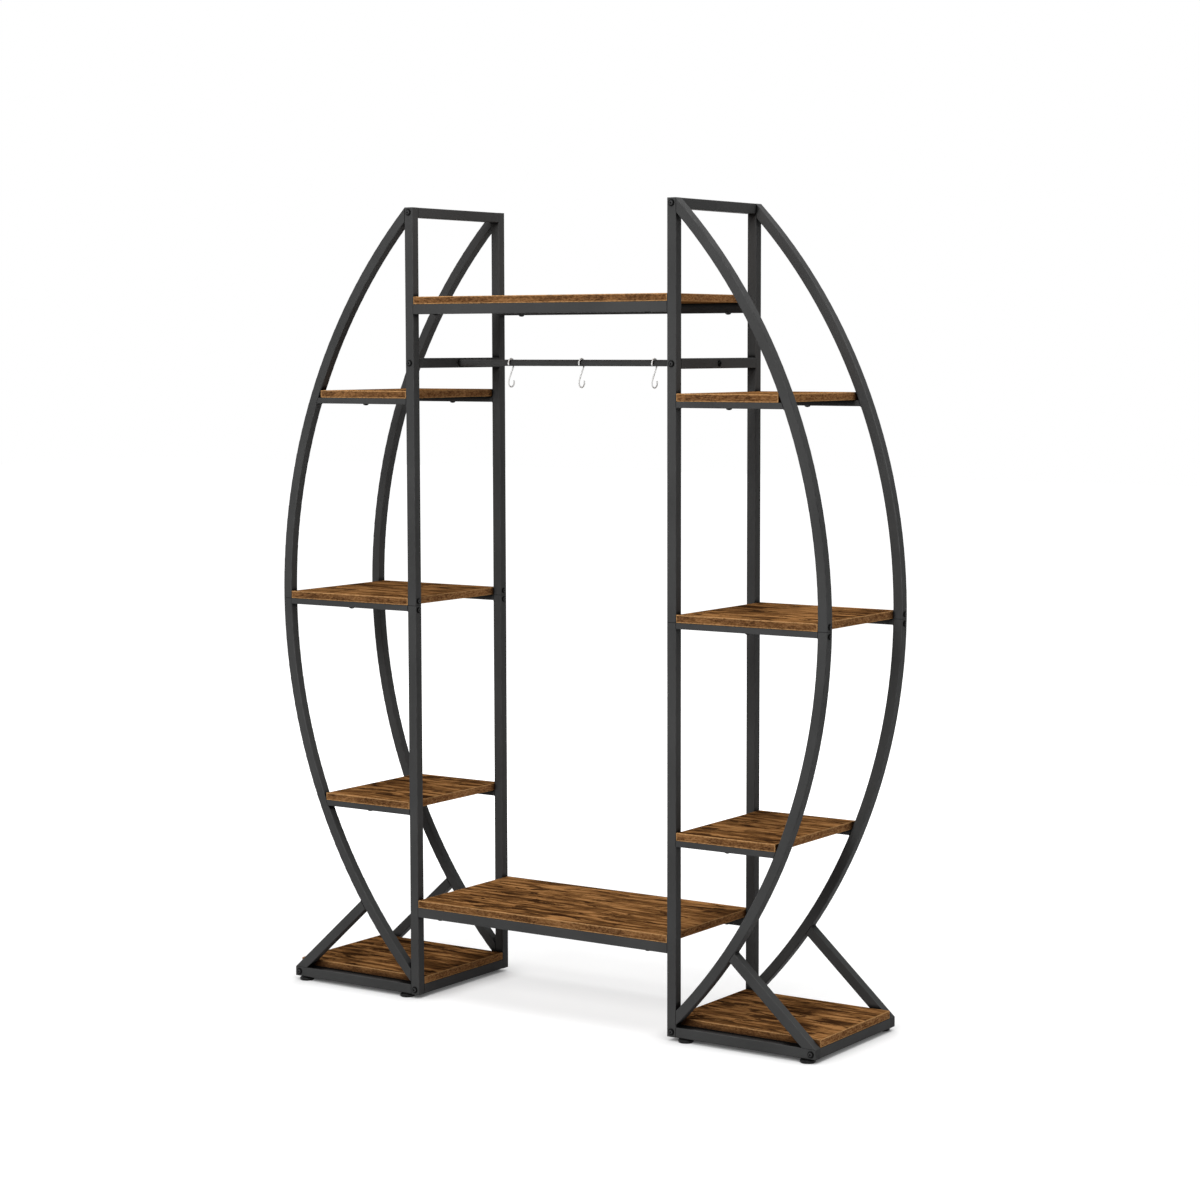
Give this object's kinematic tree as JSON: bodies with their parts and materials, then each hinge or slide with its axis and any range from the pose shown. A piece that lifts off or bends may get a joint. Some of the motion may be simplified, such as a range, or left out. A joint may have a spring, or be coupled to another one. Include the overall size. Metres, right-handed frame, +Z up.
{
  "type": "plant stand with grow lights",
  "caption": "Oval plant stand of bent square steel tube with wooden shelves on both sides, a centre shelf, a hanging bar with hooks and light strips under shelves.",
  "frame": {"origin": "on the floor under the middle of the stand, with the feet screwed in", "axes": "+X to the right along the centre shelves, +Y to the back, +Z up"},
  "size_m": [1.3062, 0.322, 1.608],
  "materials": {
    "frame_coat": "matte charcoal powder coat",
    "board": "rustic brown wood grain, satin",
    "bolt": "black steel, satin",
    "hook": "white coated wire",
    "foot": "black moulded plastic",
    "plug": "black moulded plastic",
    "zinc": "zinc plated",
    "light_housing": "anodised",
    "light_circuit": "white strip with pale yellow chips",
    "light_cover": "milky",
    "light_cap": "moulded",
    "clip": "spring steel"
  },
  "bodies": {
    "stand": {"left_front_upper_frame": "frame_coat", "left_front_lower_frame": "frame_coat", "left_back_upper_frame": "frame_coat", "left_back_lower_frame": "frame_coat", "left_top_rail": "frame_coat", "left_hanger_crossbar": "frame_coat", "left_base_inner_rail": "frame_coat", "left_base_outer_rail": "frame_coat", "left_base_board": "board", "left_lower_shelf": "board", "left_middle_shelf": "board", "left_upper_shelf": "board", "right_front_upper_frame": "frame_coat", "right_front_lower_frame": "frame_coat", "right_back_upper_frame": "frame_coat", "right_back_lower_frame": "frame_coat", "right_top_rail": "frame_coat", "right_hanger_crossbar": "frame_coat", "right_base_inner_rail": "frame_coat", "right_base_outer_rail": "frame_coat", "right_base_board": "board", "right_lower_shelf": "board", "right_middle_shelf": "board", "right_upper_shelf": "board", "centre_lower_front_rail": "frame_coat", "centre_lower_back_rail": "frame_coat", "centre_lower_shelf": "board", "centre_top_front_rail": "frame_coat", "centre_top_back_rail": "frame_coat", "centre_top_shelf": "board", "hanging_bar": "frame_coat", "centre_light_housing": "light_housing", "centre_light_cover": "light_cover", "centre_light_circuit": "light_circuit", "left_light_housing": "light_housing", "left_light_cover": "light_cover", "left_light_circuit": "light_circuit", "right_light_housing": "light_housing", "right_light_cover": "light_cover", "right_light_circuit": "light_circuit", "light_end_caps": "light_cap", "light_clips": "clip", "clip_screws": "zinc", "frame_bolts": "bolt", "joint_bolts": "bolt", "shelf_bolts": "bolt", "joint_connectors": "zinc", "foot_nuts": "zinc", "tube_end_plugs": "plug"},
    "left_front_inner_foot": {"left_front_inner_foot": "foot"},
    "left_front_outer_foot": {"left_front_outer_foot": "foot"},
    "left_back_inner_foot": {"left_back_inner_foot": "foot"},
    "left_back_outer_foot": {"left_back_outer_foot": "foot"},
    "right_front_inner_foot": {"right_front_inner_foot": "foot"},
    "right_front_outer_foot": {"right_front_outer_foot": "foot"},
    "right_back_inner_foot": {"right_back_inner_foot": "foot"},
    "right_back_outer_foot": {"right_back_outer_foot": "foot"},
    "left_hook": {"left_hook": "hook"},
    "middle_hook": {"middle_hook": "hook"},
    "right_hook": {"right_hook": "hook"}
  },
  "joints": [
    {"name": "left_front_inner_foot_screw", "type": "slide", "parent": "stand", "child": "left_front_inner_foot", "axis": [0, 0, -1], "range_m": [0, 0.008]},
    {"name": "left_front_outer_foot_screw", "type": "slide", "parent": "stand", "child": "left_front_outer_foot", "axis": [0, 0, -1], "range_m": [0, 0.008]},
    {"name": "left_back_inner_foot_screw", "type": "slide", "parent": "stand", "child": "left_back_inner_foot", "axis": [0, 0, -1], "range_m": [0, 0.008]},
    {"name": "left_back_outer_foot_screw", "type": "slide", "parent": "stand", "child": "left_back_outer_foot", "axis": [0, 0, -1], "range_m": [0, 0.008]},
    {"name": "right_front_inner_foot_screw", "type": "slide", "parent": "stand", "child": "right_front_inner_foot", "axis": [0, 0, -1], "range_m": [0, 0.008]},
    {"name": "right_front_outer_foot_screw", "type": "slide", "parent": "stand", "child": "right_front_outer_foot", "axis": [0, 0, -1], "range_m": [0, 0.008]},
    {"name": "right_back_inner_foot_screw", "type": "slide", "parent": "stand", "child": "right_back_inner_foot", "axis": [0, 0, -1], "range_m": [0, 0.008]},
    {"name": "right_back_outer_foot_screw", "type": "slide", "parent": "stand", "child": "right_back_outer_foot", "axis": [0, 0, -1], "range_m": [0, 0.008]},
    {"name": "left_hook_swing", "type": "hinge", "parent": "stand", "child": "left_hook", "pos_m": [-0.173, 0, 1.298], "axis": [1, 0, 0], "range_deg": [-60, 60]},
    {"name": "middle_hook_swing", "type": "hinge", "parent": "stand", "child": "middle_hook", "pos_m": [0, 0, 1.298], "axis": [1, 0, 0], "range_deg": [-60, 60]},
    {"name": "right_hook_swing", "type": "hinge", "parent": "stand", "child": "right_hook", "pos_m": [0.173, 0, 1.298], "axis": [1, 0, 0], "range_deg": [-60, 60]}
  ]
}
